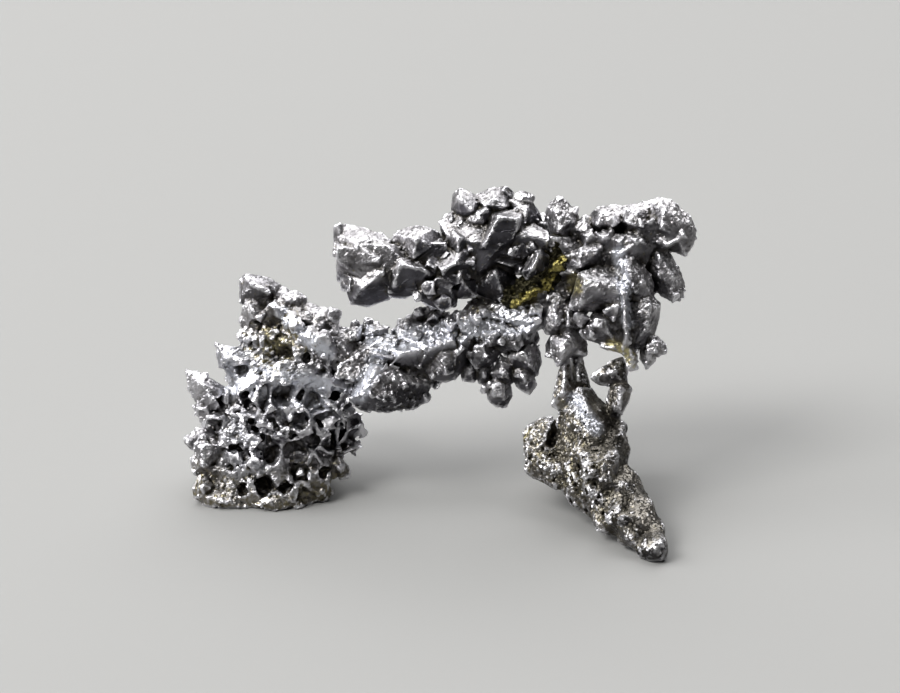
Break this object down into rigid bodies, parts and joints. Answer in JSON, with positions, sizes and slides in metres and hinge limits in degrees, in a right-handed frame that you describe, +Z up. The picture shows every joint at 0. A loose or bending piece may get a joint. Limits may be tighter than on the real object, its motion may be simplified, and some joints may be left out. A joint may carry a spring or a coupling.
{
  "type": "acanthite crystal group",
  "caption": "Branching group of dark metallic acanthite crystals that stands like an arch on a pitted lump and a tapering leg.",
  "frame": {"origin": "on the ground under the middle of the specimen's box", "axes": "+X along the arch from the pitted lump to the crystal head, +Z up, the front faces -Y"},
  "size_m": [0.036, 0.0192, 0.0213],
  "materials": {
    "acanthite": "bright to satin metallic crystal faces",
    "chalcopyrite": "granular brassy metallic"
  },
  "bodies": {
    "root": {"left_mass": "acanthite", "middle_arm": "acanthite", "upper_arm": "acanthite", "right_head": "acanthite", "lower_leg": "acanthite", "chalcopyrite_seam": "chalcopyrite"}
  },
  "joints": []
}
